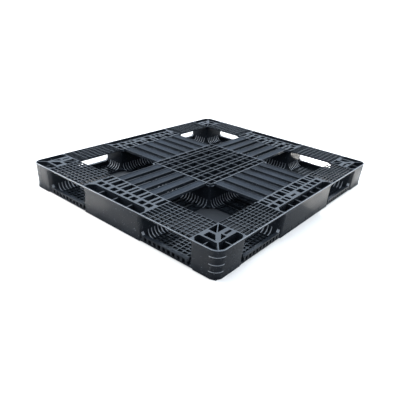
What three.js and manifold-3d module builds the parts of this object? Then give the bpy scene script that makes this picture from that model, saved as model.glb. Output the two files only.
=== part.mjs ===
// Plastic pallet with nine blocks, four-way fork entry and four large windows in each deck.
// It is moulded as two halves, upper and lower, that are welded together at mid height.
// Each half is drawn section by section: corner, end, side and centre blocks, the lattice panels
// between them, and the slatted beams that cross the middle.
// Frame: X across the short side, Y along the long side, Z up, origin on the floor under the centre.
// Front is -Y, back is +Y, left is -X, right is +X. All lengths are in millimetres.

import * as THREE from 'three';
import { mergeVertices } from 'three/addons/utils/BufferGeometryUtils.js';
import Module from 'manifold-3d';

const wasm = await Module();
wasm.setup();

// ---- overall size -------------------------------------------------------------------------

const WIDTH = 1100; // along X
const LENGTH = 1300; // along Y
const HEIGHT = 120;

// ---- plan layout --------------------------------------------------------------------------

const SIDE_STRIP = 132; // width of the left and right strips
const END_STRIP = 165; // width of the front and back strips
const MIDDLE_X = 175; // half width of the end blocks and the centre block
const MIDDLE_Y = 225; // half length of the side blocks and the centre block
const CORNER_RADIUS = 40; // of the deck, seen from above
const ENTRY_RADIUS = 20; // vertical edges of the blocks beside the fork openings
const INNER_RADIUS = 6; // vertical edges of the blocks inside the pallet

// ---- heights and thicknesses ----------------------------------------------------------------

const DRAFT = 8; // how far the outer walls lean in from the deck down to the floor
const UPPER_DECK = 6.5;
const LOWER_DECK = 8;
const BEAM_DEPTH = 12;
const BLOCK_FLOOR = 3; // closes the lower half blocks at the weld line
const WALL = 3.5; // of the hollow blocks
const RIM = 9; // width of the solid rim beside the outermost openings
const RIB = 5;
const SPLIT = 0.15; // half the gap that neighbouring sections keep

// ---- slats and lattices -----------------------------------------------------------------------

const SLATS_ALONG_Y = { centres: [-132, -66, 0, 66, 132], width: 41 };
const SLATS_ALONG_X = { centres: [-180, -108, -36, 36, 108, 180], width: 48 };
const SLAT_EDGE = 3; // raised edges of each channel-shaped slat
const SLAT_FLOOR = { from: 2.5, to: 5.5 }; // depths of the slat's thin floor between those edges
const TIE_WIDTH = 8; // joins the slats at both ends
const UPPER_CELLS = { along: 8, across: 6 }; // along the pallet's edge and across the strip
const LOWER_CELLS = { along: 5, across: 3 };
const BLOCK_CELLS = { // hollow cells inside each kind of block, along X and Y
  corner: [2, 1], end: [4, 1], side: [1, 4], centre: [3, 4],
};
const FLARE = 6; // how much narrower a block's hollow is beside its rounded entry corners

// ---- openings in the upper deck over the blocks ---------------------------------------------------

// Rows run along the pallet's edge: dividers of the outer row, then centres of three more rows.
const END_OPENINGS = {
  outer: { dividers: [-172, -85, 0, 85, 172], inside: 600 },
  squares: { centres: [-145, -106, -60, -21, 21, 60, 106, 145], half: 14, across: [558, 588] },
  slots: { centres: SLATS_ALONG_Y.centres, half: 7, across: [492, 546] },
  gaps: { centres: [-99, -33, 33, 99], half: 14, across: [492, 546] },
};
const SIDE_OPENINGS = {
  outer: { dividers: [-220, -128, -64, 0, 64, 128, 220], inside: 508 },
  squares: { centres: [-197, -150, -106, -62, 0, 62, 106, 150, 197], half: 15, across: [472, 499] },
  slots: { centres: SLATS_ALONG_X.centres, half: 8, across: [425, 462] },
  gaps: { centres: [-144, -72, 0, 72, 144], half: 17, across: [425, 462] },
};
const CENTRE_OPENINGS = {
  slots: { centres: SLATS_ALONG_Y.centres, half: 9 },
  gaps: { centres: END_OPENINGS.gaps.centres, half: 18 },
  dividers: [-220, 0, 220],
};

// ---- gussets at the foot of the block walls, and the comb along the lower deck's edge -------------

const GUSSET = { pitch: 34, thickness: 4.5, reach: 26, rise: 32, clearance: 0.3 };
const GUSSET_FREE = { inner: 16, outer: 40, ends: 25 }; // bare length at the ends of a wall
const COMB = { pitch: 24, rib: 10, under: 25, top: 29, depth: 22, web: 3 };

const ARC_STEPS = 3;
const OUTER = { x: WIDTH / 2, y: LENGTH / 2 };
const STRIP = { x: WIDTH / 2 - SIDE_STRIP, y: LENGTH / 2 - END_STRIP };
const FOOT = { x: OUTER.x - DRAFT, y: OUTER.y - DRAFT };

// Depths are measured from a half's own deck face towards the weld line.
const HALVES = [
  { name: 'upper', level: (depth) => HEIGHT - depth, deck: UPPER_DECK, cells: UPPER_CELLS },
  { name: 'lower', level: (depth) => depth, deck: LOWER_DECK, cells: LOWER_CELLS },
];

const plastic = () => new THREE.MeshStandardMaterial({
  color: 0x23262b,
  roughness: 0.38,
  metalness: 0,
});

// ---- helpers --------------------------------------------------------------------------------

// A closed outline through corners [x, y, radius], mirrored by the two signs.
function outline(corners, [signX, signY] = [1, 1]) {
  const points = corners.map(([x, y]) => new THREE.Vector2(x * signX, y * signY));
  const shape = new THREE.Shape();
  corners.forEach(([, , radius = 0], i) => {
    const corner = points[i];
    const cutBack = (other) => other.clone().sub(corner).setLength(radius).add(corner);
    const start = cutBack(points.at(i - 1));
    const end = cutBack(points[(i + 1) % points.length]);
    if (i === 0) {
      shape.moveTo(start.x, start.y);
    } else {
      shape.lineTo(start.x, start.y);
    }
    if (radius > 0) {
      shape.quadraticCurveTo(corner.x, corner.y, end.x, end.y);
    }
  });
  shape.closePath();
  return shape;
}

function rectangle(x0, x1, y0, y1, signs) {
  return outline([[x0, y0], [x1, y0], [x1, y1], [x0, y1]], signs);
}

function toSolid(geometry) {
  geometry.deleteAttribute('normal');
  geometry.deleteAttribute('uv');
  const merged = mergeVertices(geometry, 1e-4);
  return new wasm.Manifold(new wasm.Mesh({
    numProp: 3,
    vertProperties: new Float32Array(merged.attributes.position.array),
    triVerts: new Uint32Array(merged.index.array),
  }));
}

// Upright prism over one shape or a list of separate shapes, between two depths of a half.
function prism(half, shapes, depth0, depth1) {
  const geometry = new THREE.ExtrudeGeometry(shapes, {
    depth: Math.abs(depth1 - depth0),
    bevelEnabled: false,
    curveSegments: ARC_STEPS,
  });
  geometry.translate(0, 0, Math.min(half.level(depth0), half.level(depth1)));
  return toSolid(geometry);
}

function contour(shape) {
  const points = shape.extractPoints(ARC_STEPS).shape;
  if (points[0].equals(points.at(-1))) {
    points.pop();
  }
  return THREE.ShapeUtils.isClockWise(points) ? points.reverse() : points;
}

// Body with leaning outer walls between two depths of a half. shapeAt gives its outline for how far
// the outer walls have leaned in.
function loft(half, shapeAt, depth0, depth1) {
  const heights = [half.level(depth0), half.level(depth1)].sort((a, b) => a - b);
  const rings = heights.map((z) => contour(shapeAt(DRAFT * (1 - z / HEIGHT))));
  const count = rings[0].length;
  const triangles = rings[0].flatMap((_, i) => {
    const next = (i + 1) % count;
    return [i, next, count + next, i, count + next, count + i];
  });
  for (const [a, b, c] of THREE.ShapeUtils.triangulateShape(rings[0], [])) {
    triangles.push(c, b, a, count + a, count + b, count + c);
  }
  return new wasm.Manifold(new wasm.Mesh({
    numProp: 3,
    vertProperties: new Float32Array(rings.flatMap(
      (ring, level) => ring.flatMap(({ x, y }) => [x, y, heights[level]]),
    )),
    triVerts: new Uint32Array(triangles),
  }));
}

// Evenly spaced open cells, with ribs between them, as a list of rectangles.
function cells([x0, x1, countX], [y0, y1, countY], rib, signs) {
  const stepX = (x1 - x0 + rib) / countX;
  const stepY = (y1 - y0 + rib) / countY;
  const list = [];
  for (let i = 0; i < countX; i += 1) {
    for (let j = 0; j < countY; j += 1) {
      const x = x0 + i * stepX;
      const y = y0 + j * stepY;
      list.push(rectangle(x, x + stepX - rib, y, y + stepY - rib, signs));
    }
  }
  return list;
}

// Spans between the dividers of a row, each shortened by half a rib at both ends.
function spans(dividers, rib) {
  return dividers.slice(1).map((end, i) => [dividers[i] + rib / 2, end - rib / 2]);
}

// Triangular gussets along a wall. The wall runs through (x, y) for each place on its line.
function gussets(half, wall, places) {
  const foot = wall.foot + GUSSET.clearance;
  const profile = new THREE.Shape();
  profile.moveTo(-1, foot);
  profile.lineTo(GUSSET.reach, foot);
  profile.lineTo(0, foot + GUSSET.rise);
  profile.lineTo(-1, foot + GUSSET.rise);
  profile.closePath();
  return places.map((place) => {
    const fin = new THREE.ExtrudeGeometry(profile, { depth: GUSSET.thickness, bevelEnabled: false });
    fin.translate(0, 0, -GUSSET.thickness / 2);
    fin.rotateX(Math.PI / 2);
    fin.rotateZ(wall.angle);
    fin.translate(...(wall.alongX ? [place, wall.at, 0] : [wall.at, place, 0]));
    return toSolid(fin);
  });
}

// Places at an even pitch inside a span, centred on it.
function places(from, to) {
  const count = Math.floor((to - from) / GUSSET.pitch) + 1;
  const first = (from + to - (count - 1) * GUSSET.pitch) / 2;
  return Array.from({ length: count }, (_, i) => first + i * GUSSET.pitch);
}

// Openings of one row: centres and half width along the row, and their reach across it.
function openRow({ centres, half, across }, place) {
  return centres.map((at) => place(at - half, at + half, ...across));
}

// All openings of an end or side block. place puts a span along the edge and one across it.
function edgeOpenings({ outer, squares, slots, gaps }, rim, place) {
  const outerRow = spans(outer.dividers, RIB).map(([a, b]) => place(a, b, outer.inside, rim));
  return [...outerRow, ...[squares, slots, gaps].flatMap((row) => openRow(row, place))];
}

// ---- sections ---------------------------------------------------------------------------------

// A half block: walls with crossed ribs inside. The upper half has a deck with openings and is
// open at the weld line. The lower half has a floor there and is open towards the ground.
// edges and wall give the outline of its deck and of its walls for how far they have leaned in.
function block(half, edges, wall, box, counts, openings, signs) {
  const [x0, x1, y0, y1] = box;
  const weld = HEIGHT / 2 - SPLIT;
  const spanX = [x0 + WALL, x1 - WALL, counts[0]];
  const spanY = [y0 + WALL, y1 - WALL, counts[1]];
  const hollow = cells(spanX, spanY, WALL, signs);
  const solid = loft(half, edges, 0, half.deck).add(loft(half, wall, half.deck - 1, weld));
  if (half.name === 'lower') {
    return solid.subtract(prism(half, hollow, -1, weld - BLOCK_FLOOR));
  }
  return solid
    .subtract(prism(half, hollow, half.deck, weld + 1))
    .subtract(prism(half, openings, -1, half.deck + 1));
}

function cornerBlock(half, signs) {
  const [x0, y0] = [STRIP.x + SPLIT, STRIP.y + SPLIT];
  const corner = (lean, radius, entry) => outline([
    [x0, y0, radius],
    [OUTER.x - lean, y0, entry],
    [OUTER.x - lean, OUTER.y - lean, CORNER_RADIUS - lean],
    [x0, OUTER.y - lean, entry],
  ], signs);
  const edges = (lean) => corner(lean, 0, 0);
  const wall = (lean) => corner(lean, INNER_RADIUS, ENTRY_RADIUS);
  const box = [x0 + 2, FOOT.x - 7, y0 + 2, FOOT.y - 7];
  const inner = { x0: x0 + RIB, x1: 463, y0: y0 + RIB, y1: 553 };
  const ring = { x: 508, y: 602, x1: OUTER.x - RIM, y1: OUTER.y - RIM };
  const openings = [
    outline([[inner.x0 + RIB, inner.y0], [inner.x1, inner.y0], [inner.x1, inner.y1 - RIB]], signs),
    outline([[inner.x0, inner.y0 + RIB], [inner.x0, inner.y1], [inner.x1 - RIB, inner.y1]], signs),
    rectangle(478, 492, 492, 532, signs),
    outline([[475, 542], [498, 542], [498, 572]], signs),
    outline([[436, 565], [462, 565], [486, 594], [436, 594]], signs),
    outline([[ring.x, y0 + 8], [ring.x1, y0 + 18], [ring.x1, 560], [ring.x, 560]], signs),
    outline([[ring.x, 566], [ring.x1, 566], [ring.x1, 622], [ring.x, 596]], signs),
    outline([[475, ring.y], [506, ring.y], [532, 626], [520, ring.y1], [475, ring.y1]], signs),
    outline([[x0 + 8, ring.y], [469, ring.y], [469, ring.y1], [x0 + 18, ring.y1]], signs),
  ];
  return block(half, edges, wall, box, BLOCK_CELLS.corner, openings, signs);
}

function endBlock(half, signs) {
  const x1 = MIDDLE_X - SPLIT;
  const y0 = STRIP.y + SPLIT;
  const edges = (lean) => rectangle(-x1, x1, y0, OUTER.y - lean, signs);
  const wall = (lean) => outline([
    [-x1, y0, INNER_RADIUS],
    [x1, y0, INNER_RADIUS],
    [x1, OUTER.y - lean, ENTRY_RADIUS],
    [-x1, OUTER.y - lean, ENTRY_RADIUS],
  ], signs);
  const box = [FLARE - x1, x1 - FLARE, y0 + 1, FOOT.y - 1];
  const place = (a, b, c, d) => rectangle(a, b, c, d, signs);
  const openings = edgeOpenings(END_OPENINGS, OUTER.y - RIM, place);
  return block(half, edges, wall, box, BLOCK_CELLS.end, openings, signs);
}

function sideBlock(half, signs) {
  const x0 = STRIP.x + SPLIT;
  const y1 = MIDDLE_Y - SPLIT;
  const edges = (lean) => rectangle(x0, OUTER.x - lean, -y1, y1, signs);
  const wall = (lean) => outline([
    [x0, -y1, INNER_RADIUS],
    [OUTER.x - lean, -y1, ENTRY_RADIUS],
    [OUTER.x - lean, y1, ENTRY_RADIUS],
    [x0, y1, INNER_RADIUS],
  ], signs);
  const box = [x0 + 1, FOOT.x - 1, FLARE - y1, y1 - FLARE];
  const place = (a, b, c, d) => rectangle(c, d, a, b, signs);
  const openings = edgeOpenings(SIDE_OPENINGS, OUTER.x - RIM, place);
  return block(half, edges, wall, box, BLOCK_CELLS.side, openings, signs);
}

function centreBlock(half) {
  const [x1, y1] = [MIDDLE_X - SPLIT, MIDDLE_Y - SPLIT];
  const edges = () => rectangle(-x1, x1, -y1, y1);
  const wall = () => outline([
    [-x1, -y1, INNER_RADIUS],
    [x1, -y1, INNER_RADIUS],
    [x1, y1, INNER_RADIUS],
    [-x1, y1, INNER_RADIUS],
  ]);
  const { slots, gaps, dividers } = CENTRE_OPENINGS;
  const openings = [slots, gaps].flatMap((row) => spans(dividers, 2 * RIB)
    .flatMap((across) => openRow({ ...row, across }, rectangle)));
  return block(half, edges, wall, [1 - x1, x1 - 1, 1 - y1, y1 - 1], BLOCK_CELLS.centre, openings);
}

// Raised outer edge of a lower lattice: a flange on a comb of upright ribs.
function comb(half, [from, to], outer, alongX, signs) {
  const strip = (a, b, c, d) => (alongX
    ? rectangle(a, b, c, d, signs)
    : rectangle(c, d, a, b, signs));
  const inner = outer - COMB.depth;
  const edge = (lean) => strip(from, to, inner, outer - lean);
  const count = Math.round((to - from) / COMB.pitch);
  const pitch = (to - from) / count;
  const reach = (pitch - COMB.rib) / 2;
  const gaps = Array.from({ length: count - 1 }, (_, i) => from + pitch * (i + 1))
    .map((at) => strip(at - reach, at + reach, inner + COMB.web, outer + 1));
  return loft(half, edge, half.deck - 1, COMB.top).subtract(prism(half, gaps, half.deck, COMB.under));
}

// Lattice panel along an outer edge, with the comb if it belongs to the lower half.
function latticePanel(half, edges, open, edgeComb) {
  const panel = loft(half, edges, 0, half.deck).subtract(prism(half, open, -1, half.deck + 1));
  return half.name === 'lower' ? panel.add(comb(half, ...edgeComb)) : panel;
}

// Lattice panel between a corner block and an end block.
function endLattice(half, signs) {
  const [x0, x1, y0] = [MIDDLE_X + SPLIT, STRIP.x - SPLIT, STRIP.y + SPLIT];
  const edges = (lean) => rectangle(x0, x1, y0, OUTER.y - lean, signs);
  const rim = half.name === 'lower' ? COMB.depth : RIM;
  const alongX = [x0 + RIB / 2, x1 - RIB / 2, half.cells.along];
  const acrossY = [y0 + RIB / 2, OUTER.y - rim, half.cells.across];
  const open = cells(alongX, acrossY, RIB, signs);
  return latticePanel(half, edges, open, [[x0, x1], OUTER.y, true, signs]);
}

// Lattice panel between a corner block and a side block.
function sideLattice(half, signs) {
  const [x0, y0, y1] = [STRIP.x + SPLIT, MIDDLE_Y + SPLIT, STRIP.y - SPLIT];
  const edges = (lean) => rectangle(x0, OUTER.x - lean, y0, y1, signs);
  const rim = half.name === 'lower' ? COMB.depth : RIM;
  const acrossX = [x0 + RIB / 2, OUTER.x - rim, half.cells.across];
  const alongY = [y0 + RIB / 2, y1 - RIB / 2, half.cells.along];
  const open = cells(acrossX, alongY, RIB, signs);
  return latticePanel(half, edges, open, [[y0, y1], OUTER.x, false, signs]);
}

// Grooved slats side by side, joined at both ends. The span is their run, across their row.
function slattedBeam(half, slats, [start, end], alongX, signs) {
  const strip = (a, b, c, d) => (alongX
    ? rectangle(c, d, a, b, signs)
    : rectangle(a, b, c, d, signs));
  const side = slats.width / 2;
  const reach = slats.centres.at(-1) + side;
  const run = [start + TIE_WIDTH, end - TIE_WIDTH];
  const gaps = slats.centres.slice(1)
    .map((at, i) => strip(slats.centres[i] + side, at - side, ...run));
  const inside = side - SLAT_EDGE;
  const grooves = slats.centres
    .map((at) => strip(at - inside, at + inside, ...run));
  return prism(half, strip(-reach, reach, start, end), 0, BEAM_DEPTH)
    .subtract(prism(half, gaps, -1, BEAM_DEPTH + 1))
    .subtract(prism(half, grooves, -1, SLAT_FLOOR.from))
    .subtract(prism(half, grooves, SLAT_FLOOR.to, BEAM_DEPTH + 1));
}

// ---- walls that carry gussets ---------------------------------------------------------------------

// Gussets of the lower half: along the wall facing X or Y, reaching towards the given direction.
function footGussets(half, walls) {
  return walls.flatMap(({ at, from, to, facing, foot }) => {
    const alongX = facing === '+Y' || facing === '-Y';
    const angle = { '+X': 0, '+Y': Math.PI / 2, '-X': Math.PI, '-Y': -Math.PI / 2 }[facing];
    return gussets(half, { at, alongX, angle, foot }, places(from, to));
  });
}

function withGussets(half, solid, walls) {
  if (half.name === 'upper') {
    return solid;
  }
  return footGussets(half, walls).reduce((whole, fin) => whole.add(fin), solid);
}

const towards = (sign, axis) => `${sign > 0 ? '-' : '+'}${axis}`;
const away = (sign, axis) => `${sign > 0 ? '+' : '-'}${axis}`;

// The part of a wall that carries gussets: from inside the pallet outwards, or along the middle.
function outerRun(sign, inside, outside) {
  const ends = [sign * (inside + GUSSET_FREE.inner), sign * (outside - GUSSET_FREE.outer)];
  return { from: Math.min(...ends), to: Math.max(...ends) };
}

function middleRun(middle) {
  return { from: GUSSET_FREE.ends - middle, to: middle - GUSSET_FREE.ends };
}

// Each wall: its place, its run, which way it faces, and the top of the deck in front of it.
function cornerWalls([signX, signY]) {
  const x = outerRun(signX, STRIP.x, OUTER.x);
  const y = outerRun(signY, STRIP.y, OUTER.y);
  return [
    { at: signX * (STRIP.x + SPLIT), ...y, facing: towards(signX, 'X'), foot: LOWER_DECK },
    { at: signY * (STRIP.y + SPLIT), ...x, facing: towards(signY, 'Y'), foot: LOWER_DECK },
  ];
}

function endWalls([, signY]) {
  const y = outerRun(signY, STRIP.y, OUTER.y);
  const inner = { at: signY * (STRIP.y + SPLIT), ...middleRun(MIDDLE_X) };
  return [
    ...[-1, 1].map((side) => (
      { at: side * (MIDDLE_X - SPLIT), ...y, facing: away(side, 'X'), foot: LOWER_DECK }
    )),
    { ...inner, facing: towards(signY, 'Y'), foot: BEAM_DEPTH },
  ];
}

function sideWalls([signX]) {
  const x = outerRun(signX, STRIP.x, OUTER.x);
  const inner = { at: signX * (STRIP.x + SPLIT), ...middleRun(MIDDLE_Y) };
  return [
    ...[-1, 1].map((side) => (
      { at: side * (MIDDLE_Y - SPLIT), ...x, facing: away(side, 'Y'), foot: LOWER_DECK }
    )),
    { ...inner, facing: towards(signX, 'X'), foot: BEAM_DEPTH },
  ];
}

function centreWalls() {
  const foot = BEAM_DEPTH;
  return [-1, 1].flatMap((side) => [
    { at: side * (MIDDLE_X - SPLIT), ...middleRun(MIDDLE_Y), facing: away(side, 'X'), foot },
    { at: side * (MIDDLE_Y - SPLIT), ...middleRun(MIDDLE_X), facing: away(side, 'Y'), foot },
  ]);
}

// ---- assembly -----------------------------------------------------------------------------------

const pallet = new THREE.Group();

function addSection(name, solid) {
  const { vertProperties, triVerts } = solid.getMesh();
  const geometry = new THREE.BufferGeometry();
  geometry.setAttribute('position', new THREE.BufferAttribute(vertProperties, 3));
  geometry.setIndex(new THREE.BufferAttribute(triVerts, 1));
  const mesh = new THREE.Mesh(geometry, plastic());
  mesh.name = name;
  pallet.add(mesh);
}

const ENDS = [['front', -1], ['back', 1]];
const SIDES = [['left', -1], ['right', 1]];

for (const half of HALVES) {
  for (const [end, signY] of ENDS) {
    for (const [side, signX] of SIDES) {
      const signs = [signX, signY];
      const corner = withGussets(half, cornerBlock(half, signs), cornerWalls(signs));
      addSection(`${half.name}_corner_block_${end}_${side}`, corner);
      addSection(`${half.name}_end_lattice_${end}_${side}`, endLattice(half, signs));
      addSection(`${half.name}_side_lattice_${end}_${side}`, sideLattice(half, signs));
    }
    const signs = [1, signY];
    const run = [MIDDLE_Y + SPLIT, STRIP.y - SPLIT];
    const endSolid = withGussets(half, endBlock(half, signs), endWalls(signs));
    addSection(`${half.name}_end_block_${end}`, endSolid);
    addSection(`${half.name}_end_beam_${end}`, slattedBeam(half, SLATS_ALONG_Y, run, false, signs));
  }
  for (const [side, signX] of SIDES) {
    const signs = [signX, 1];
    const run = [MIDDLE_X + SPLIT, STRIP.x - SPLIT];
    const sideSolid = withGussets(half, sideBlock(half, signs), sideWalls(signs));
    addSection(`${half.name}_side_block_${side}`, sideSolid);
    addSection(`${half.name}_side_beam_${side}`, slattedBeam(half, SLATS_ALONG_X, run, true, signs));
  }
  addSection(`${half.name}_centre_block`, withGussets(half, centreBlock(half), centreWalls()));
}

export default pallet;
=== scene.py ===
import math

import bmesh
import bpy
from mathutils import Matrix, Vector
from mathutils.geometry import tessellate_polygon


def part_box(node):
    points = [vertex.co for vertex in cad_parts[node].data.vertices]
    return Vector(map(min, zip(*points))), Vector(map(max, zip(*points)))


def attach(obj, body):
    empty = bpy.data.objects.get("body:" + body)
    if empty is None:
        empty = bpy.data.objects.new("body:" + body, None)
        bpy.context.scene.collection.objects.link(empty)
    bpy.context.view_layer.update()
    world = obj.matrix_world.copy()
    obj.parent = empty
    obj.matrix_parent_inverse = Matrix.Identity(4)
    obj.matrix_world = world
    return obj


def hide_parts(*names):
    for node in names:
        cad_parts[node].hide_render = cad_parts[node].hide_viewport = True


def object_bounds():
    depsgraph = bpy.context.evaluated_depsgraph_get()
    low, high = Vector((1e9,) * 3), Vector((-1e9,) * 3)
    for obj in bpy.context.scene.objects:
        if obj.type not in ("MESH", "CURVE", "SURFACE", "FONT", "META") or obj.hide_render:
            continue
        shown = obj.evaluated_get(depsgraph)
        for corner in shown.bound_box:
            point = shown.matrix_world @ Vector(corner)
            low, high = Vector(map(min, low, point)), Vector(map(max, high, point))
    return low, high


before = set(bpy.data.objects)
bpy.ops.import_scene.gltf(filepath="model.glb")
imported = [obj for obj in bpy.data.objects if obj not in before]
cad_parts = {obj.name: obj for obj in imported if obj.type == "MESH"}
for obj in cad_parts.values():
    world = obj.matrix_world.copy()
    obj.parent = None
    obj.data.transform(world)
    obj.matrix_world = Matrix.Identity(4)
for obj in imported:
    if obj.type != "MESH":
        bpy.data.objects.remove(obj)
cad_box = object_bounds()


def whole_mm(point):
    return [float(round(value * 1000)) for value in point]


# Driving sizes in millimetres, read from the frame. X is across, Y along, Z up, origin under the centre.
HALF_X, HALF_Y, HEIGHT = whole_mm(cad_box[1])
STRIP_X, STRIP_Y, _ = whole_mm(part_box("upper_corner_block_back_right")[0])  # inner edges of the strips
MID_X = whole_mm(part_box("upper_end_block_back")[1])[0]  # half sizes of the middle blocks
MID_Y = whole_mm(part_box("upper_side_block_right")[1])[1]
UPPER, LOWER = "upper", "lower"
# The third material is light grey wear from fork tines that also stands in for painted highlights on edges
# and curves.
GLOSS, GRAINED, WORN_AND_HIGHLIT = 0, 1, 2  # places of the materials on a piece
WELD = HEIGHT / 2
DRAFT = 8.0  # the outer walls lean in by this much from the deck to the floor
DECK = {UPPER: 6.5, LOWER: 8.0}  # depth of the lattices and of the deck over the blocks
BEAM = 12.0  # depth of the slats
POCKET = 56.0  # depth of the open pockets in the blocks
SUNK = 7.0  # how far the dividers of the outer pockets lie below the deck
DIVIDER, LEDGE = 3.5, 0.8  # thickness of those dividers, and the step round their pocket
RIM = 5.5  # width of the solid rim round the deck
RIB = 3.6
THIN_RIB = 2.6
CHAMFER = 0.5
RIM_CHAMFER = 1.8
DECK_RADIUS, ENTRY_RADIUS, INNER_RADIUS = 40.0, 20.0, 8.0
NEAR_SHARP = 0.2  # radius of corners that look sharp
SHARP_ANGLE = math.radians(28)  # faces that meet at more than this keep a hard edge
ARC_STEPS, SMALL_ARC_STEPS = 8, 3
ENTRY_FLARE = 12.0  # radius between the block walls and the deck
FLARE_START = 0.2  # how far below the deck plate it starts
FLARE_TURNS = (0, 22, 45, 67, 90)  # degrees at which it is drawn
OVERLAP = 0.5  # how far attached shapes reach into the deck that carries them
IN_WALL = -1.0  # where they start, behind the wall's face

SLATS_Y = {"centres": (-132, -66, 0, 66, 132), "width": 41.0}
SLATS_X = {"centres": (-180, -108, -36, 36, 108, 180), "width": 48.0}
SLAT_EDGE, SLAT_GROOVE = 3.0, 2.5
SLAT_TIE, SLAT_MARGIN = 4.0, 3.0  # solid strip at the ends of the slats, and of their grooves
SLAT_FLOOR, SLAT_CELLS = 3.0, 6  # thickness of their floor, and hollow cells under it

# Openings over the blocks, drawn for the right and back side. A row runs along the pallet's edge.
CORNER_CELLS = [
    [(424, 489), (460, 489), (460, 542)],
    [(422, 494), (459, 549), (422, 549)],
    [(436, 562), (465, 562), (490, 594), (436, 594)],
    [(474, 541), (498, 541), (498, 574)],
    [(478, 494), (489, 494), (489, 532), (478, 532)],
]
CORNER_DIVIDERS = {"side": 564, "end": 470}
END_OPENINGS = {
    "dividers": (-85, 0, 85),
    "squares": {"centres": (21.5, 60, 106.5, 145.5), "half": 14, "across": (560, 588)},
    "narrow": {"centres": SLATS_Y["centres"], "half": 6.5, "across": (490, 548)},
    "wide": {"centres": (-99, -33, 33, 99), "half": 15, "across": (488, 548)},
    "ends": {"centres": (161, -161), "half": 10, "across": (490, 548)},
}
SIDE_OPENINGS = {
    "dividers": (-128, -64, 0, 64, 128),
    "squares": {
        "spans": [(-219, -188), (-172, -141), (-125, -108), (-98, -79), (5, 44), (66, 84), (96, 118),
                  (131, 162), (173, 203)],
        "across": (472, 499),
    },
    "slot": {"span": (-60, -22), "across": (481, 492)},
    "narrow": {"centres": SLATS_X["centres"], "half": 7, "across": (424, 462)},
    "wide": {"centres": (-144, -72, 0, 72, 144), "half": 18, "across": (422, 462)},
    "ends": {"centres": (209.5, -209.5), "half": 11.5, "across": (424, 462)},
}
CENTRE_OPENINGS = {
    "narrow": 9.5,
    "wide": 19,
    "ends": [(147, 171), (-171, -147)],
    "dividers": (-222, -177, -130, -65, 0, 65, 130, 177, 222),
}
SQUARE_RADIUS, SQUARE_STEPS = 3, 2

# Upper lattices: the long first cell ends here, and even cells follow
END_LATTICE = {"first": 221, "along": 8, "across": 8}
SIDE_LATTICE = {"first": 275, "last": 435, "along": 6, "across": 8}

LOWER_ALONG, LOWER_ACROSS = 24.0, 20.0  # rib pitch of the lower lattices along and across the outer edge

GUSSET = {"pitch": 17.0, "thickness": 4.5, "reach": 26.0, "rise": 32.0}
COMB = {"pitch": 24.0, "rib": 10.0, "rib_end": 20.0, "under": 25.0, "top": 29.0, "depth": 22.0,
        "web": 3.0, "edge": 1.0}
RAMP = {"reach": 9.0, "rise": 11.0, "inset": 3.0, "depth": 12.0}  # at the foot of the walls by the openings
CORNER_RIB = {"heights": (91.0, 59.0, 29.0), "proud": 1.5, "thickness": 2.6, "sweep": range(-4, 95, 7)}


# ---- loops in plan ----

def signed_area(loop):
    return sum(a[0] * b[1] - b[0] * a[1] for a, b in zip(loop, loop[1:] + loop[:1])) / 2


def turned(loop, signs):
    """The loop mirrored by the two signs, always counter-clockwise."""
    flipped = [(x * signs[0], y * signs[1]) for x, y in loop]
    return flipped if signed_area(flipped) > 0 else flipped[::-1]


def grown(loop, distance):
    """A counter-clockwise loop with every side moved outwards."""
    result = []
    for before, here, after in zip(loop[-1:] + loop[:-1], loop, loop[1:] + loop[:1]):
        e1 = (Vector(here) - Vector(before)).normalized()
        e2 = (Vector(after) - Vector(here)).normalized()
        n1, n2 = Vector((e1.y, -e1.x)), Vector((e2.y, -e2.x))
        move = (n1 + n2) / (1 + n1.dot(n2)) * distance
        result.append((here[0] + move.x, here[1] + move.y))
    return result


def rounded(corners, steps=ARC_STEPS):
    """A loop through corners (x, y, radius); a radius of 0 gives one point."""
    loop = []
    for i, (x, y, radius) in enumerate(corners):
        if radius == 0:
            loop.append((x, y))
            continue
        here = Vector((x, y))
        to_before = (Vector(corners[i - 1][:2]) - here).normalized()
        to_after = (Vector(corners[(i + 1) % len(corners)][:2]) - here).normalized()
        half_angle = to_before.angle(to_after) / 2
        centre = here + (to_before + to_after).normalized() * (radius / math.sin(half_angle))
        start = here + to_before * (radius / math.tan(half_angle)) - centre
        end = here + to_after * (radius / math.tan(half_angle)) - centre
        sweep = start.angle(end)
        for k in range(steps + 1):
            t = k / steps
            arm = (start * math.sin((1 - t) * sweep) + end * math.sin(t * sweep)) / math.sin(sweep)
            loop.append((centre.x + arm.x, centre.y + arm.y))
    return loop


def box(x0, x1, y0, y1):
    return [(x0, y0), (x1, y0), (x1, y1), (x0, y1)]


def soft_box(x0, x1, y0, y1, radius, steps=ARC_STEPS):
    return rounded([(x0, y0, radius), (x1, y0, radius), (x1, y1, radius), (x0, y1, radius)], steps)


def rows_of_cells(openings, along_x):
    """The narrow, wide and end cells of a block, in rows that run along x or along y."""
    cells = []
    for row in (openings["narrow"], openings["wide"], openings["ends"]):
        low, high = row["across"]
        for at in row["centres"]:
            a, b = at - row["half"], at + row["half"]
            cells.append(box(a, b, low, high) if along_x else box(low, high, a, b))
    return cells


def spans(dividers, rib):
    """Clear spans between dividing lines, with half a rib taken off at each end."""
    return [(a + rib / 2, b - rib / 2) for a, b in zip(dividers, dividers[1:])]


def grid(columns, rows):
    return [box(x0, x1, y0, y1) for x0, x1 in columns for y0, y1 in rows]


def even(start, end, count):
    return [start + (end - start) * i / count for i in range(count + 1)]


def pitched(start, end, pitch):
    """Evenly spaced places from start to end, about a pitch apart."""
    return even(start, end, round((end - start) / pitch))


def slab(loop, axis, low, high):
    """The part of a convex loop between two values of x (axis 0) or y (axis 1)."""
    for limit, keep in ((low, 1), (high, -1)):
        kept = []
        for a, b in zip(loop, loop[1:] + loop[:1]):
            if keep * (a[axis] - limit) >= 0:
                kept.append(a)
            if (a[axis] - limit) * (b[axis] - limit) < 0:
                t = (limit - a[axis]) / (b[axis] - a[axis])
                kept.append((a[0] + t * (b[0] - a[0]), a[1] + t * (b[1] - a[1])))
        loop = kept
    return loop


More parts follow.
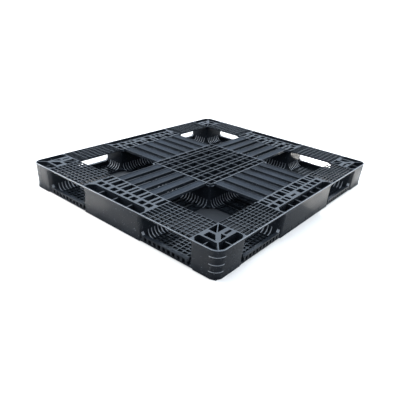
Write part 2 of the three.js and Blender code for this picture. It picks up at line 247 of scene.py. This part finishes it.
def wells_between(loop, axis, dividers):
    """A pocket's deeper wells: its own outline cut at dividers that stay standing between them."""
    ends = [min(p[axis] for p in loop) - DIVIDER, *dividers, max(p[axis] for p in loop) + DIVIDER]
    return [slab(grown(loop, -LEDGE), axis, a, b) for a, b in spans(ends, DIVIDER)]


# ---- mouldings ----

def level(half, depth):
    """Height of a depth below a half's own deck face."""
    return HEIGHT - depth if half == UPPER else depth


def lean(z):
    """How far the outer walls have leaned in at a height."""
    return DRAFT * (1 - z / HEIGHT)


class Shell:
    """One mesh made of rings of points, walls between them and flat caps.

    signs tells which mirror image of the drawn outlines the rings are.
    """

    def __init__(self, signs=(1, 1)):
        self.bm = bmesh.new()
        self.signs = signs

    def ring(self, loop, z):
        return self.ring_through((x, y, z) for x, y in loop)

    def ring_through(self, points):
        return [self.bm.verts.new([value / 1000 for value in point]) for point in points]

    def wall(self, upper, lower):
        count = len(upper)
        for i in range(count):
            j = (i + 1) % count
            self.bm.faces.new((upper[i], upper[j], lower[j], lower[i]))

    def stack(self, rings):
        for a, b in zip(rings, rings[1:]):
            self.wall(a, b)

    def mark_worn_highlit_slope(self, top, below):
        """Gives the sloping faces between a shell's first two rings, its first faces, the worn look, which
        also paints a highlight on them.
        """
        upright = 0.0005  # metres that a side may lean and still count as upright
        leans = [(a.co.xy - b.co.xy).length > upright for a, b in zip(top, below)]
        self.bm.faces.ensure_lookup_table()
        for i, (here, next_one) in enumerate(zip(leans, leans[1:] + leans[:1])):
            if here and next_one:
                self.bm.faces[i].material_index = WORN_AND_HIGHLIT

    def cap(self, rings, material=GLOSS):
        """Fills a flat face with holes, the same way in all mirror images."""
        sx, sy = self.signs
        if sx * sy < 0:
            rings = [ring[::-1] for ring in rings]
        corners = [v for ring in rings for v in ring]
        drawn = [[Vector((v.co.x * sx, v.co.y * sy, 0)) for v in ring] for ring in rings]
        for triangle in tessellate_polygon(drawn):
            face = self.bm.faces.new([corners[i] for i in triangle])
            face.material_index = material

    def prism(self, rings, worn_highlit_sides=()):
        """A closed body through rings of the same length, with a face at each end."""
        before = len(self.bm.faces)
        self.stack(rings)
        self.bm.faces.ensure_lookup_table()
        # these sides get the worn look, which also paints a highlight on them
        for side in worn_highlit_sides:
            self.bm.faces[before + side].material_index = WORN_AND_HIGHLIT
        self.bm.faces.new(rings[0])
        self.bm.faces.new(rings[-1])


def finish_piece(name, shell, nodes=()):
    """Turns a shell into an object that rides on the frame and stands for CAD nodes."""
    bm = shell.bm
    bmesh.ops.recalc_face_normals(bm, faces=bm.faces)
    mesh = bpy.data.meshes.new(name)
    bm.to_mesh(mesh)
    bm.free()
    for material in looks:
        mesh.materials.append(material)
    mesh.shade_smooth()
    mesh.set_sharp_from_angle(angle=SHARP_ANGLE)
    piece = bpy.data.objects.new(name, mesh)
    bpy.context.scene.collection.objects.link(piece)
    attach(piece, "root")
    if nodes:
        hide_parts(*nodes)


def pocket(loop, depth=POCKET, wells=()):
    """A hole that doesn't go through, with smaller and deeper wells in its floor."""
    return loop, depth, wells


def moulding(half, signs, outlines, through=(), pockets=(), under=(), floor_material=GLOSS):
    """A half's section as one closed mesh.

    outlines are (loop, depth) from the deck face inwards, the first at depth 0. through and pockets
    are holes from the deck face, and under holds (loop, depth) hollows open at the far face.
    """
    shell = Shell(signs)

    def sides(loop, depths, edge=0):
        """Rings of a hole, the first one widened to a small chamfer."""
        hole = turned(loop, signs)
        wide = [shell.ring(grown(hole, edge), level(half, depths[0] - edge))] if edge else []
        made = wide + [shell.ring(hole, level(half, depth)) for depth in depths]
        shell.stack(made)
        return made

    rings = [shell.ring(turned(loop, signs), level(half, depth)) for loop, depth in outlines]
    shell.stack(rings)
    # the upper rim chamfer is worn and carries a painted highlight line
    if half == UPPER:
        shell.mark_worn_highlit_slope(rings[0], rings[1])
    last = outlines[-1][1]
    face, back = [rings[0]], [rings[-1]]
    for loop in through:
        made = sides(loop, (CHAMFER, last), CHAMFER)
        face.append(made[0])
        back.append(made[-1])
    for loop, depth, wells in pockets:
        made = sides(loop, (CHAMFER, depth), CHAMFER)
        face.append(made[0])
        floor = [made[-1]]
        for well in wells:
            deeper = sides(well, (depth, POCKET))
            floor.append(deeper[0])
            shell.cap([deeper[-1]])
        shell.cap(floor, floor_material)
    for loop, depth in under:
        made = sides(loop, (depth, last))
        back.append(made[-1])
        shell.cap([made[0]])
    shell.cap(face)
    shell.cap(back)
    return shell


def block_outlines(half, edges, wall):
    """Levels of a block: chamfered rim, deck plate, a flare under it, then the walls to the weld.

    edges(inset) and wall(flare, inset) give its outline in the deck and below it.
    """
    deck = DECK[half]

    def inset(depth):
        return lean(level(half, depth))

    levels = [
        (edges(inset(0) + RIM_CHAMFER), 0),
        (edges(inset(RIM_CHAMFER)), RIM_CHAMFER),
        (edges(inset(deck)), deck),
    ]
    for degrees in FLARE_TURNS:
        turn = math.radians(degrees)
        depth = deck + FLARE_START + ENTRY_FLARE * (1 - math.cos(turn))
        levels.append((wall(ENTRY_FLARE * (1 - math.sin(turn)), inset(depth)), depth))
    levels.append((wall(0, inset(WELD)), WELD))
    return levels


def corner_block(half, signs):
    x0, y0 = STRIP_X, STRIP_Y
    rim_x, rim_y = HALF_X - RIM, HALF_Y - RIM

    def edges(inset):
        x1, y1 = HALF_X - inset, HALF_Y - inset
        return rounded([
            (x0, y0, NEAR_SHARP),
            (x1, y0, NEAR_SHARP),
            (x1, y1, DECK_RADIUS - inset),
            (x0, y1, NEAR_SHARP),
        ])

    def wall(flare, inset):
        x1, y1 = HALF_X - inset, HALF_Y - inset
        return rounded([
            (x0 - flare, y0 - flare, INNER_RADIUS + flare),
            (x1, y0 - flare, ENTRY_RADIUS),
            (x1, y1, DECK_RADIUS - inset),
            (x0 - flare, y1, ENTRY_RADIUS),
        ])

    side_bend = rounded([
        (506, 489, 2), (532, 489, 10), (rim_x, 506, 8), (rim_x, 616, 20), (536, 632, 1), (506, 597, 1),
    ], SMALL_ARC_STEPS)
    end_bend = rounded([
        (422, 603, 8), (503, 603, 1), (533, 637, 1), (518, rim_y, 20), (438, rim_y, 10), (422, 626, 10),
    ], SMALL_ARC_STEPS)
    pockets = [pocket(loop) for loop in CORNER_CELLS]
    pockets.append(pocket(side_bend, SUNK, wells_between(side_bend, 1, [CORNER_DIVIDERS["side"]])))
    pockets.append(pocket(end_bend, SUNK, wells_between(end_bend, 0, [CORNER_DIVIDERS["end"]])))
    return moulding(half, signs, block_outlines(half, edges, wall), pockets=pockets)


def end_block(half, signs):
    x1, y0 = MID_X, STRIP_Y

    def edges(inset):
        return soft_box(-x1, x1, y0, HALF_Y - inset, NEAR_SHARP)

    def wall(flare, inset):
        y1 = HALF_Y - inset
        return rounded([
            (-x1 - flare, y0 - flare, INNER_RADIUS + flare),
            (x1 + flare, y0 - flare, INNER_RADIUS + flare),
            (x1 + flare, y1, ENTRY_RADIUS),
            (-x1 - flare, y1, ENTRY_RADIUS),
        ])

    rim = HALF_Y - RIM
    outer = rounded([
        (-150, 599, 8), (150, 599, 8), (170, 620, 8), (170, rim, 5), (-170, rim, 5), (-170, 620, 8),
    ], SMALL_ARC_STEPS)
    row = END_OPENINGS["squares"]
    squares = [soft_box(x - row["half"], x + row["half"], *row["across"], SQUARE_RADIUS, SQUARE_STEPS)
               for x in row["centres"]]
    squares += [turned(square, (-1, 1)) for square in squares]
    cells = rows_of_cells(END_OPENINGS, along_x=True)
    wells = wells_between(outer, 0, END_OPENINGS["dividers"])
    pockets = [pocket(outer, SUNK, wells)] + [pocket(loop) for loop in squares + cells]
    return moulding(half, signs, block_outlines(half, edges, wall), pockets=pockets)


def side_block(half, signs):
    x0, y1 = STRIP_X, MID_Y

    def edges(inset):
        return soft_box(x0, HALF_X - inset, -y1, y1, NEAR_SHARP)

    def wall(flare, inset):
        x1 = HALF_X - inset
        return rounded([
            (x0 - flare, -y1 - flare, INNER_RADIUS + flare),
            (x1, -y1 - flare, ENTRY_RADIUS),
            (x1, y1 + flare, ENTRY_RADIUS),
            (x0 - flare, y1 + flare, INNER_RADIUS + flare),
        ])

    rim = HALF_X - RIM
    outer = rounded([
        (507, -200, 8), (524, -219, 8), (rim, -219, 5), (rim, 219, 5), (524, 219, 8), (507, 200, 8),
    ], SMALL_ARC_STEPS)
    squares, slot = SIDE_OPENINGS["squares"], SIDE_OPENINGS["slot"]
    edge_row = [soft_box(*squares["across"], a, b, SQUARE_RADIUS, SQUARE_STEPS)
                for a, b in squares["spans"]]
    edge_row.append(box(*slot["across"], *slot["span"]))
    cells = rows_of_cells(SIDE_OPENINGS, along_x=False)
    wells = wells_between(outer, 1, SIDE_OPENINGS["dividers"])
    pockets = [pocket(outer, SUNK, wells)] + [pocket(loop) for loop in edge_row + cells]
    return moulding(half, signs, block_outlines(half, edges, wall), pockets=pockets)


def centre_block(half):
    def edges(_):
        return soft_box(-MID_X, MID_X, -MID_Y, MID_Y, NEAR_SHARP)

    def wall(flare, _):
        x, y = MID_X + flare, MID_Y + flare
        return soft_box(-x, x, -y, y, INNER_RADIUS + flare)

    narrow, wide = CENTRE_OPENINGS["narrow"], CENTRE_OPENINGS["wide"]
    columns = [(x - narrow, x + narrow) for x in SLATS_Y["centres"]]
    columns += [(x - wide, x + wide) for x in END_OPENINGS["wide"]["centres"]]
    columns += CENTRE_OPENINGS["ends"]
    rows = spans(CENTRE_OPENINGS["dividers"], RIB)
    pockets = [pocket(loop) for loop in grid(columns, rows)]
    outlines = block_outlines(half, edges, wall)
    outlines[0] = (edges(0), 0)
    return moulding(half, (1, 1), outlines, pockets=pockets)


# ---- lattices and beams ----

def plate_outlines(half, edges):
    """Levels of a flat plate whose edges(inset) lean in with the outer walls."""
    deck = DECK[half]
    return [
        (edges(lean(level(half, 0)) + RIM_CHAMFER), 0),
        (edges(lean(level(half, RIM_CHAMFER))), RIM_CHAMFER),
        (edges(lean(level(half, deck))), deck),
    ]


def end_lattice(half, signs):
    x0, x1, y0 = MID_X, STRIP_X, STRIP_Y

    def edges(inset):
        return box(x0, x1, y0, HALF_Y - inset)

    if half == UPPER:
        first, along, across = END_LATTICE["first"], END_LATTICE["along"], END_LATTICE["across"]
        columns = spans([x0] + even(first, x1, along), RIB)
        rows = spans(even(y0, HALF_Y - RIM + RIB / 2, across), RIB)
    else:
        columns = spans(pitched(x0, x1, LOWER_ALONG), RIB)
        rows = spans(pitched(y0, HALF_Y - DRAFT - COMB["depth"], LOWER_ACROSS), RIB)
    return moulding(half, signs, plate_outlines(half, edges), through=grid(columns, rows))


def side_lattice(half, signs):
    x0, y0, y1 = STRIP_X, MID_Y, STRIP_Y

    def edges(inset):
        return box(x0, HALF_X - inset, y0, y1)

    if half == UPPER:
        first, last = SIDE_LATTICE["first"], SIDE_LATTICE["last"]
        columns = spans(even(x0, HALF_X - RIM + RIB / 2, SIDE_LATTICE["across"]), THIN_RIB)
        rows = spans([y0] + even(first, last, SIDE_LATTICE["along"]) + [y1], RIB)
    else:
        columns = spans(pitched(x0, HALF_X - DRAFT - COMB["depth"], LOWER_ACROSS), RIB)
        rows = spans(pitched(y0, y1, LOWER_ALONG), RIB)
    return moulding(half, signs, plate_outlines(half, edges), through=grid(columns, rows))


def beam(half, slats, span, along_x, signs):
    """Channel-shaped slats side by side, joined at both ends."""
    start, end = span
    groove_start, groove_end = start + SLAT_MARGIN, end - SLAT_MARGIN

    def strip(a, b, c, d):
        return box(c, d, a, b) if along_x else box(a, b, c, d)

    side = slats["width"] / 2
    centres = slats["centres"]
    reach = centres[-1] + side
    gaps = [strip(a + side, b - side, start + SLAT_TIE, end - SLAT_TIE)
            for a, b in zip(centres, centres[1:])]
    inside = side - SLAT_EDGE
    grooves = [pocket(strip(at - inside, at + inside, groove_start, groove_end), SLAT_GROOVE)
               for at in centres]
    cells = spans(even(groove_start, groove_end, SLAT_CELLS), SLAT_TIE)
    under = [(strip(at - inside, at + inside, c, d), SLAT_GROOVE + SLAT_FLOOR)
             for at in centres for c, d in cells]
    outlines = [(strip(-reach, reach, start, end), 0), (strip(-reach, reach, start, end), BEAM)]
    return moulding(half, signs, outlines, through=gaps, pockets=grooves, under=under,
                    floor_material=GRAINED)


# ---- gussets, the open comb along the lower deck's edge, and ribs round the corners ----

def prism_along(shell, profile, start, end, place, worn_highlit_sides=()):
    """A closed prism: profile points (u, z) swept from start to end, laid out by place(u, along).

    The sides numbered in the last argument get the worn look: wear from fork tines, with a painted
    highlight laid on too.
    """
    shell.prism([
        shell.ring_through((*place(u, along), z) for u, z in profile)
        for along in (start, end)
    ], worn_highlit_sides)


def gusset_profile(half):
    """Hollow curve from high on the wall to far out on the deck, from the wall's own face."""
    reach, rise = GUSSET["reach"], GUSSET["rise"]
    curve = []
    for degrees in range(0, 91, 15):
        turn = math.radians(degrees)
        curve.append((reach * (1 - math.sin(turn)), rise * (1 - math.cos(turn))))
    points = [(IN_WALL, -OVERLAP), (reach, -OVERLAP)] + curve + [(IN_WALL, rise)]
    return [(u, level(half, DECK[half] + z)) for u, z in points]


def gusset_row(half, walls, signs):
    """Gussets at an even pitch along walls given as (axis, at, outward, start, end)."""
    shell = Shell()
    profile = gusset_profile(half)
    curved = range(2, len(profile) - 2)  # sides of the hollow curve, which get the worn look with a painted highlight
    for axis, at, outward, start, end in walls:
        count = int((end - start) / GUSSET["pitch"]) + 1
        first = (start + end - (count - 1) * GUSSET["pitch"]) / 2

        def place(u, along):
            point = (at + outward * u, along) if axis == "x" else (along, at + outward * u)
            return point[0] * signs[0], point[1] * signs[1]

        for i in range(count):
            middle = first + i * GUSSET["pitch"]
            half_thickness = GUSSET["thickness"] / 2
            prism_along(shell, profile, middle - half_thickness, middle + half_thickness, place, curved)
    return shell


def comb(along_end, signs):
    """Open edge of the lower deck: a flange on upright ribs, with a small ramp at each end."""
    shell = Shell()
    if along_end:
        start, end, outer = MID_X, STRIP_X, HALF_Y
    else:
        start, end, outer = MID_Y, STRIP_Y, HALF_X

    def place(u, along):
        point = (along, outer - u) if along_end else (outer - u, along)
        return point[0] * signs[0], point[1] * signs[1]

    depth, under, top, edge = COMB["depth"], COMB["under"], COMB["top"], COMB["edge"]
    web_face, rib_end = depth - COMB["web"], COMB["rib_end"]
    foot = DECK[LOWER] - OVERLAP
    flange = [(lean(under), under), (lean(top), top - edge), (lean(top) + edge, top), (depth, top),
              (depth, foot), (web_face, foot), (web_face, under)]
    prism_along(shell, flange, start, end, place)
    count = round((end - start) / COMB["pitch"])
    rib = [(lean(foot), foot), (lean(under), under + OVERLAP), (rib_end, under + OVERLAP), (rib_end, foot)]
    gap = (end - start) / count
    for at in even(start + gap / 2, end - gap / 2, count - 1):
        prism_along(shell, rib, at - COMB["rib"] / 2, at + COMB["rib"] / 2, place)
    reach, rise, near = RAMP["reach"], RAMP["rise"], lean(top) + RAMP["inset"]
    ramp = [(IN_WALL, top - OVERLAP), (reach, top - OVERLAP), (reach * 0.55, top + rise * 0.3),
            (reach * 0.2, top + rise * 0.65), (0, top + rise), (IN_WALL, top + rise)]
    sloping = range(1, 4)  # sides of the ramp with the worn look: wear from fork tines and a painted highlight
    for wall, inwards in ((start, 1), (end, -1)):
        prism_along(shell, ramp, near, near + RAMP["depth"],
                    lambda s, u: place(u, wall + inwards * s), sloping)
    return shell


def corner_ribs(signs):
    """Thin raised ribs round the outside of a corner."""
    shell = Shell()
    cx, cy = HALF_X - DECK_RADIUS, HALF_Y - DECK_RADIUS
    for z in CORNER_RIB["heights"]:
        radius = DECK_RADIUS - lean(z)
        thick, proud = CORNER_RIB["thickness"] / 2, CORNER_RIB["proud"]
        section = [(IN_WALL, -thick), (proud * 0.6, -thick), (proud, -thick / 2), (proud, thick / 2),
                   (proud * 0.6, thick), (IN_WALL, thick)]
        rings = []
        for degrees in CORNER_RIB["sweep"]:
            turn = math.radians(degrees)
            rings.append(shell.ring_through(
                ((cx + (radius + u) * math.cos(turn)) * signs[0],
                 (cy + (radius + u) * math.sin(turn)) * signs[1], z + w)
                for u, w in section
            ))
        # every side of the ribs gets the worn look, which also paints highlight lines round the corner
        shell.prism(rings, range(len(section) * (len(rings) - 1)))
    return shell


# ---- materials ----

CLOUDS, SMEARS, SPECKS = 7.0, 14.0, 170.0  # noise scales of the tint, of the gloss and of the dust
DUST = (0.10, 0.11, 0.13)
DUST_SHARE = 0.5
DUST_FROM, DUST_TO = 0.66, 0.74  # the noise values between which dust sets in


def plastic(name, colour, cloudy, gloss, roughness, uneven, grain, grain_strength):
    """Moulded black plastic: cloudy colour, dust specks, uneven gloss and a fine grain."""
    material = bpy.data.materials.new(name)
    material.use_nodes = True
    nodes, links = material.node_tree.nodes, material.node_tree.links
    shader = nodes["Principled BSDF"]
    shader.inputs["Specular IOR Level"].default_value = gloss
    where = nodes.new("ShaderNodeTexCoord")

    def noise(scale, detail):
        node = nodes.new("ShaderNodeTexNoise")
        node.inputs["Scale"].default_value = scale
        node.inputs["Detail"].default_value = detail
        links.new(where.outputs["Object"], node.inputs["Vector"])
        return node

    def ramp(source, low, high, start=0.3, stop=0.7):
        node = nodes.new("ShaderNodeMapRange")
        node.inputs["From Min"].default_value = start
        node.inputs["From Max"].default_value = stop
        node.inputs["To Min"].default_value = low
        node.inputs["To Max"].default_value = high
        links.new(source.outputs["Fac"], node.inputs["Value"])
        return node

    tint = nodes.new("ShaderNodeMix")
    tint.data_type = "RGBA"
    tint.inputs["A"].default_value = (*colour, 1)
    tint.inputs["B"].default_value = (*[c * cloudy for c in colour], 1)
    links.new(ramp(noise(CLOUDS, 4.0), 0.0, 1.0).outputs["Result"], tint.inputs["Factor"])
    dust = nodes.new("ShaderNodeMix")
    dust.data_type = "RGBA"
    dust.inputs["B"].default_value = (*DUST, 1)
    links.new(tint.outputs["Result"], dust.inputs["A"])
    specks = ramp(noise(SPECKS, 2.0), 0.0, DUST_SHARE, DUST_FROM, DUST_TO)
    links.new(specks.outputs["Result"], dust.inputs["Factor"])
    links.new(dust.outputs["Result"], shader.inputs["Base Color"])
    smears = ramp(noise(SMEARS, 6.0), roughness - uneven, roughness + uneven)
    links.new(smears.outputs["Result"], shader.inputs["Roughness"])
    bump = nodes.new("ShaderNodeBump")
    bump.inputs["Strength"].default_value = grain_strength
    bump.inputs["Distance"].default_value = 0.001
    links.new(noise(grain, 5.0).outputs["Fac"], bump.inputs["Height"])
    links.new(bump.outputs["Normal"], shader.inputs["Normal"])
    return material


glossy = plastic("gloss_plastic", (0.0068, 0.0082, 0.0102), cloudy=1.6, gloss=0.04,
                 roughness=0.22, uneven=0.06, grain=160.0, grain_strength=0.08)
grained = plastic("grained_plastic", (0.0075, 0.009, 0.0112), cloudy=2.4, gloss=0.010,
                  roughness=0.50, uneven=0.08, grain=420.0, grain_strength=0.8)
# Light grey worn plastic: part real wear, part painted highlight on chamfers, gusset curves, ramps and
# corner ribs.
worn_highlight_look = plastic("worn_and_highlight_plastic", (0.092, 0.099, 0.108), cloudy=1.4, gloss=0.4,
                  roughness=0.5, uneven=0.08, grain=300.0, grain_strength=0.3)
looks = [glossy, grained, worn_highlight_look]  # in the order of GLOSS, GRAINED and the worn look with its painted highlights


# ---- pieces ----

ENDS = (("front", -1), ("back", 1))
SIDES = (("left", -1), ("right", 1))
WALL_START, WALL_STOP = 10.0, 40.0  # the gussets keep this clear of a wall's inner and outer ends
INNER_SPAN_X, INNER_SPAN_Y = MID_X - WALL_START, MID_Y - WALL_START  # walls of the middle blocks

# walls that carry gussets: axis the wall faces along, where it is, which way it faces, and its run
CORNER_WALLS = [
    ("x", STRIP_X, -1, STRIP_Y + WALL_START, HALF_Y - WALL_STOP),
    ("y", STRIP_Y, -1, STRIP_X + WALL_START, HALF_X - WALL_STOP),
]
END_WALLS = [
    ("x", MID_X, 1, STRIP_Y + WALL_START, HALF_Y - WALL_STOP),
    ("x", -MID_X, -1, STRIP_Y + WALL_START, HALF_Y - WALL_STOP),
    ("y", STRIP_Y, -1, -INNER_SPAN_X, INNER_SPAN_X),
]
SIDE_WALLS = [
    ("y", MID_Y, 1, STRIP_X + WALL_START, HALF_X - WALL_STOP),
    ("y", -MID_Y, -1, STRIP_X + WALL_START, HALF_X - WALL_STOP),
    ("x", STRIP_X, -1, -INNER_SPAN_Y, INNER_SPAN_Y),
]
CENTRE_WALLS = [
    ("x", MID_X, 1, -INNER_SPAN_Y, INNER_SPAN_Y),
    ("x", -MID_X, -1, -INNER_SPAN_Y, INNER_SPAN_Y),
    ("y", MID_Y, 1, -INNER_SPAN_X, INNER_SPAN_X),
    ("y", -MID_Y, -1, -INNER_SPAN_X, INNER_SPAN_X),
]


def add(shell, node):
    """A detailed moulding that stands for one CAD node."""
    finish_piece("moulded_" + node, shell, [node])


for half in (UPPER, LOWER):
    for end, sign_y in ENDS:
        for side, sign_x in SIDES:
            signs = (sign_x, sign_y)
            where = f"{end}_{side}"
            add(corner_block(half, signs), f"{half}_corner_block_{where}")
            add(end_lattice(half, signs), f"{half}_end_lattice_{where}")
            add(side_lattice(half, signs), f"{half}_side_lattice_{where}")
            if half == LOWER:
                finish_piece(f"gussets_corner_{where}", gusset_row(half, CORNER_WALLS, signs))
                finish_piece(f"comb_end_{where}", comb(True, signs))
                finish_piece(f"comb_side_{where}", comb(False, signs))
                finish_piece(f"corner_ribs_{where}", corner_ribs(signs))
        add(end_block(half, (1, sign_y)), f"{half}_end_block_{end}")
        add(beam(half, SLATS_Y, (MID_Y, STRIP_Y), False, (1, sign_y)), f"{half}_end_beam_{end}")
        if half == LOWER:
            finish_piece(f"gussets_end_{end}", gusset_row(half, END_WALLS, (1, sign_y)))
    for side, sign_x in SIDES:
        add(side_block(half, (sign_x, 1)), f"{half}_side_block_{side}")
        add(beam(half, SLATS_X, (MID_X, STRIP_X), True, (sign_x, 1)), f"{half}_side_beam_{side}")
        if half == LOWER:
            finish_piece(f"gussets_side_{side}", gusset_row(half, SIDE_WALLS, (sign_x, 1)))
    add(centre_block(half), f"{half}_centre_block")
    if half == LOWER:
        finish_piece("gussets_centre", gusset_row(half, CENTRE_WALLS, (1, 1)))


# ---- floor, lights and camera ----

def floor_plane(name, half_x, half_y, z, colour):
    material = bpy.data.materials.new(name)
    material.use_nodes = True
    shader = material.node_tree.nodes["Principled BSDF"]
    shader.inputs["Base Color"].default_value = (*colour, 1)
    shader.inputs["Roughness"].default_value = FLOOR_ROUGHNESS
    corners = [(-half_x, -half_y, z), (half_x, -half_y, z), (half_x, half_y, z), (-half_x, half_y, z)]
    mesh = bpy.data.meshes.new(name)
    mesh.from_pydata(corners, [], [(0, 1, 2, 3)])
    mesh.materials.append(material)
    floor = bpy.data.objects.new(name, mesh)
    bpy.context.scene.collection.objects.link(floor)


def studio_light():
    """A dome with a pale horizon, and a bright soft band behind the pallet that its deck mirrors."""
    world = bpy.data.worlds.new("studio")
    world.use_nodes = True
    nodes, links = world.node_tree.nodes, world.node_tree.links
    where = nodes.new("ShaderNodeTexCoord")
    parts = nodes.new("ShaderNodeSeparateXYZ")
    links.new(where.outputs["Generated"], parts.inputs["Vector"])

    def band(stops_wanted):
        node = nodes.new("ShaderNodeValToRGB")
        node.color_ramp.interpolation = "EASE"
        stops = node.color_ramp.elements
        stops[0].position, stops[1].position = 0.0, 1.0
        for height, strength in stops_wanted:
            stop = stops.new(height) if 0 < height < 1 else stops[0 if height == 0 else -1]
            stop.color = (strength, strength, strength, 1)
        links.new(parts.outputs["Z"], node.inputs["Fac"])
        return node

    toward = nodes.new("ShaderNodeVectorMath")
    toward.operation = "DOT_PRODUCT"
    toward.inputs[1].default_value = (math.cos(BACK_AZIMUTH), math.sin(BACK_AZIMUTH), 0)
    links.new(where.outputs["Generated"], toward.inputs[0])
    share = nodes.new("ShaderNodeMapRange")
    share.interpolation_type = "SMOOTHSTEP"
    share.inputs["From Min"].default_value = BACK_FROM
    share.inputs["From Max"].default_value = BACK_TO
    links.new(toward.outputs["Value"], share.inputs["Value"])
    blend = nodes.new("ShaderNodeMix")
    blend.data_type = "RGBA"
    links.new(share.outputs["Result"], blend.inputs["Factor"])
    links.new(band(FRONT_BAND).outputs["Color"], blend.inputs["A"])
    links.new(band(BACK_BAND).outputs["Color"], blend.inputs["B"])
    tinted = nodes.new("ShaderNodeMix")
    tinted.data_type = "RGBA"
    tinted.blend_type = "MULTIPLY"
    tinted.inputs["Factor"].default_value = 1.0
    tinted.inputs["B"].default_value = (*LIGHT_TINT, 1)
    links.new(blend.outputs["Result"], tinted.inputs["A"])
    background = nodes["Background"]
    background.inputs["Strength"].default_value = LIGHT_LEVEL
    links.new(tinted.outputs["Result"], background.inputs["Color"])
    bpy.context.scene.world = world


def soft_sun(name, azimuth, elevation, strength, spread):
    """A sun at an azimuth and elevation in degrees; a wider spread gives softer shadows."""
    light = bpy.data.lights.new(name, "SUN")
    light.energy = strength
    light.angle = math.radians(spread)
    light.color = SUN_TINT
    lamp = bpy.data.objects.new(name, light)
    lamp.rotation_euler = (math.radians(90 - elevation), 0, math.radians(azimuth + 90))
    bpy.context.scene.collection.objects.link(lamp)


def soft_box_light(name, place, target, size, power):
    """A square light that shines at a target and isn't seen itself."""
    light = bpy.data.lights.new(name, "AREA")
    light.size = size
    light.energy = power
    light.color = SUN_TINT
    lamp = bpy.data.objects.new(name, light)
    lamp.location = place
    aim = Vector(target) - Vector(place)
    lamp.rotation_euler = aim.to_track_quat("-Z", "Y").to_euler()
    lamp.visible_camera = False
    bpy.context.scene.collection.objects.link(lamp)


def floor_light(name, corner, opposite, power):
    """A rectangle of light straight above the floor between two corners."""
    light = bpy.data.lights.new(name, "AREA")
    light.shape = "RECTANGLE"
    light.size = opposite[0] - corner[0]
    light.size_y = opposite[1] - corner[1]
    light.spread = FLOOR_LIGHT_SPREAD
    light.energy = power
    light.color = SUN_TINT
    lamp = bpy.data.objects.new(name, light)
    middle = [(a + b) / 2 for a, b in zip(corner, opposite)]
    lamp.location = (*middle, FLOOR_LIGHT_HEIGHT)
    lamp.visible_camera = False
    bpy.context.scene.collection.objects.link(lamp)


def camera_at(place, yaw, pitch, roll, lens):
    """A camera that looks along a heading and a tilt in degrees, rolled about its view."""
    yaw, pitch, roll = (math.radians(angle) for angle in (yaw, pitch, roll))
    ahead = Vector((math.cos(pitch) * math.cos(yaw), math.cos(pitch) * math.sin(yaw), math.sin(pitch)))
    level_right = ahead.cross(Vector((0, 0, 1))).normalized()
    level_up = level_right.cross(ahead)
    right = level_right * math.cos(roll) + level_up * math.sin(roll)
    up = level_up * math.cos(roll) - level_right * math.sin(roll)
    data = bpy.data.cameras.new("camera")
    data.lens = lens
    data.sensor_width = 36.0
    camera = bpy.data.objects.new("camera", data)
    camera.matrix_world = Matrix.Translation(place) @ Matrix((right, up, -ahead)).transposed().to_4x4()
    bpy.context.scene.collection.objects.link(camera)
    bpy.context.scene.camera = camera


# Bands of the dome: sine of the elevation, and how bright it is there
BACK_BAND = ((0.0, 0.4), (0.03, 0.4), (0.06, 0.135), (0.26, 0.135), (0.40, 0.75),
             (0.54, 1.9), (0.64, 0.75), (0.75, 0.32), (1.0, 0.32))
FRONT_BAND = ((0.0, 0.135), (0.24, 0.135), (0.34, 0.03), (0.5, 0.05), (0.75, 0.32), (1.0, 0.32))
BACK_AZIMUTH = math.radians(120)
BACK_FROM, BACK_TO = 0.3, 0.8  # cosines of the angle from there, between which that band fades in
LIGHT_LEVEL = 9.1
LIGHT_TINT = (0.78, 0.90, 1.05)
SUN_TINT = (0.94, 0.97, 1.0)
FLOOR_LIGHT_HEIGHT = 0.3
FLOOR_LIGHT_SPREAD = math.radians(14)
FLOOR_REACH = 200.0
FLOOR_ROUGHNESS = 0.9
PALE = (0.62, 0.575, 0.525)
# A dark sheet under the pallet: painted shade that stands in for the deep shadow beneath it.
PAINTED_SHADE_COLOUR = (0.02, 0.0215, 0.024)
SHADE_INSET = 0.012  # how far the dark sheet of painted shade stays inside the pallet's outline
SHADE_X, SHADE_Y = HALF_X / 1000 - SHADE_INSET, HALF_Y / 1000 - SHADE_INSET

floor_plane("pale_floor", FLOOR_REACH, FLOOR_REACH, z=-0.0006, colour=PALE)
floor_plane("painted_shade_under_pallet", SHADE_X, SHADE_Y, z=-0.0003, colour=PAINTED_SHADE_COLOUR)
studio_light()
soft_sun("left_sun", azimuth=190, elevation=24, strength=3.4, spread=25)
soft_sun("back_sun", azimuth=64, elevation=23, strength=1.8, spread=25)
soft_box_light("left_softbox", (-1.15, -1.35, 0.6), target=(-0.45, -0.8, 0.0), size=0.6, power=16.0)
floor_light("right_floor_light", (0.57, 0.13), (0.90, 0.80), power=2.6)
floor_light("left_floor_light", (-0.93, -1.0), (-0.12, -0.68), power=7.2)
floor_light("near_floor_light", (-0.12, -1.0), (0.56, -0.68), power=2.4)
floor_light("far_floor_light", (0.15, 0.67), (0.45, 0.92), power=2.6)
camera_at(Vector((1.231, -1.646, 0.877)), yaw=127.97, pitch=-25.33, roll=4.38, lens=39.2)
bpy.context.scene.view_settings.view_transform = "Standard"
